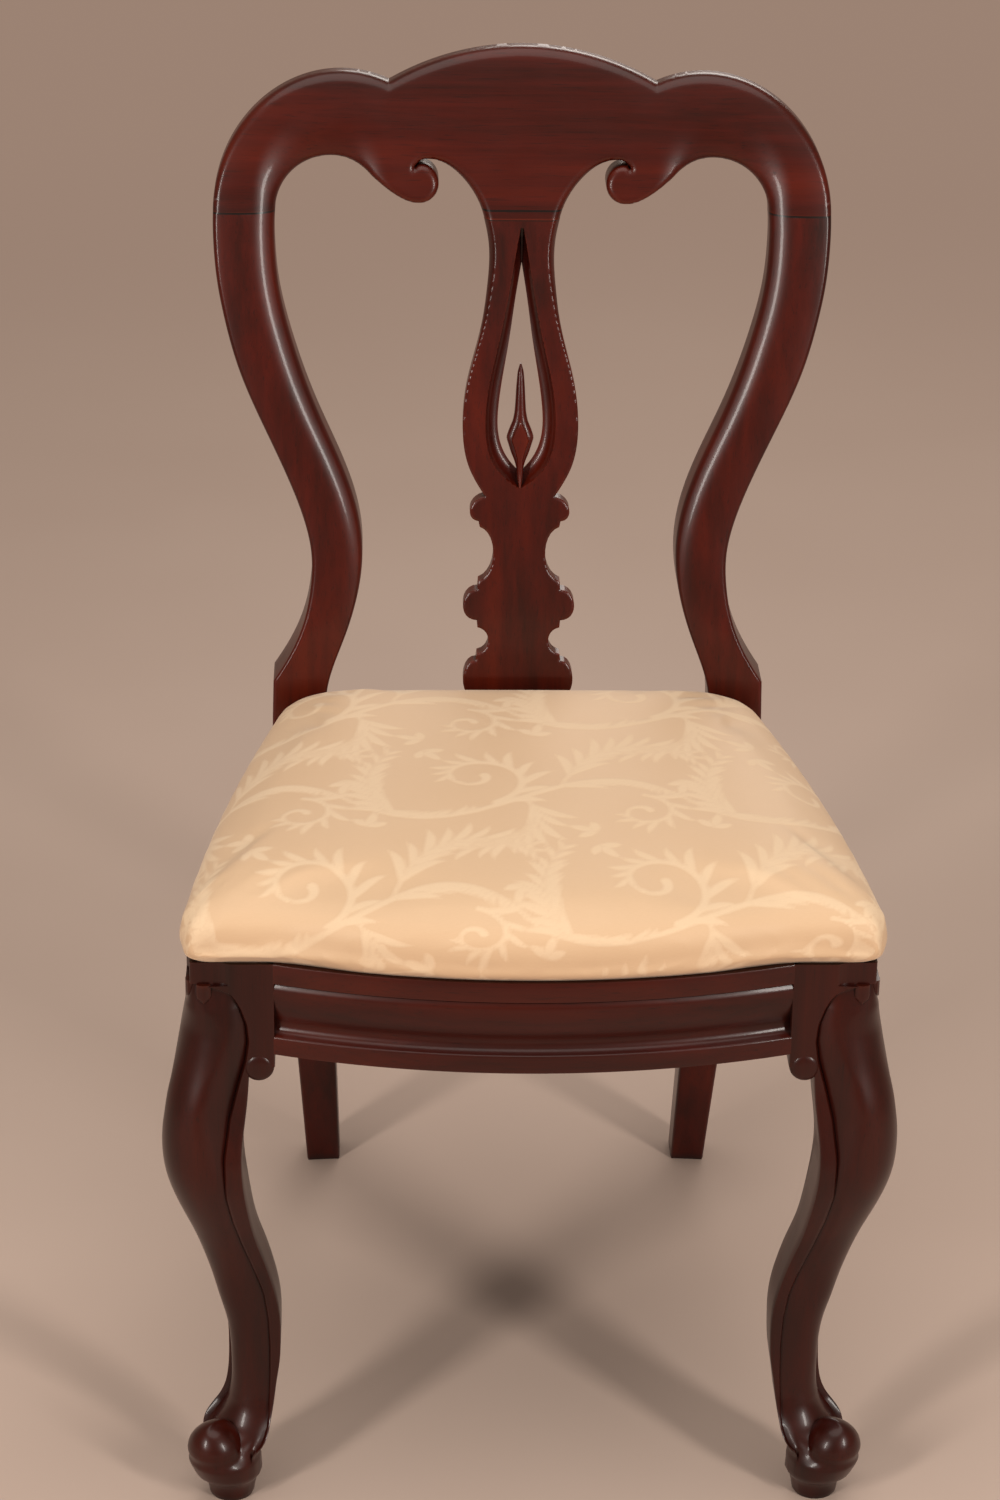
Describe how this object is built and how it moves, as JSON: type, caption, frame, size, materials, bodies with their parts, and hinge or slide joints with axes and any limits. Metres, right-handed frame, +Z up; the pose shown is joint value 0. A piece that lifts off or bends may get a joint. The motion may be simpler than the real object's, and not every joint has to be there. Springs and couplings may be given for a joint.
{
  "type": "dining chair",
  "caption": "Balloon back dining chair: polished mahogany frame with a pierced splat and cabriole front legs, and a drop-in seat in ivory damask that lifts out.",
  "frame": {"origin": "on the floor under the middle of the chair's overall box", "axes": "+Z up, the sitter faces -Y, +X to the right as seen from the front of the chair, X = 0 is the plane of symmetry"},
  "size_m": [0.5046, 0.544, 0.928],
  "materials": {
    "mahogany": "dark red-brown mahogany, French polished",
    "beech": "plain sawn beech",
    "screw_steel": "dull steel",
    "webbing": "jute webbing",
    "hessian": "coarse hessian",
    "bottom_cloth": "black cotton lining",
    "horsehair": "curled horsehair",
    "damask": "ivory damask, satin ground with a paler woven leaf scroll"
  },
  "bodies": {
    "frame": {"front_leg_left": "mahogany", "front_leg_right": "mahogany", "rear_post_left": "mahogany", "rear_post_right": "mahogany", "crest_rail": "mahogany", "splat": "mahogany", "splat_shoe": "mahogany", "front_rail": "mahogany", "side_rail_left": "mahogany", "side_rail_right": "mahogany", "back_rail": "mahogany", "corner_block_front_left": "beech", "corner_block_front_right": "beech", "corner_block_rear_left": "beech", "corner_block_rear_right": "beech", "crest_dowels_left": "beech", "crest_dowels_right": "beech", "corner_block_screws": "screw_steel"},
    "seat": {"seat_frame_front": "beech", "seat_frame_back": "beech", "seat_frame_left": "beech", "seat_frame_right": "beech", "webbing_long": "webbing", "webbing_cross": "webbing", "hessian": "hessian", "bottom_cloth": "bottom_cloth", "stuffing": "horsehair", "seat_cover": "damask"}
  },
  "joints": [
    {"name": "seat_lift", "type": "slide", "parent": "frame", "child": "seat", "axis": [0, 0, 1], "range_m": [0, 0.06]}
  ]
}
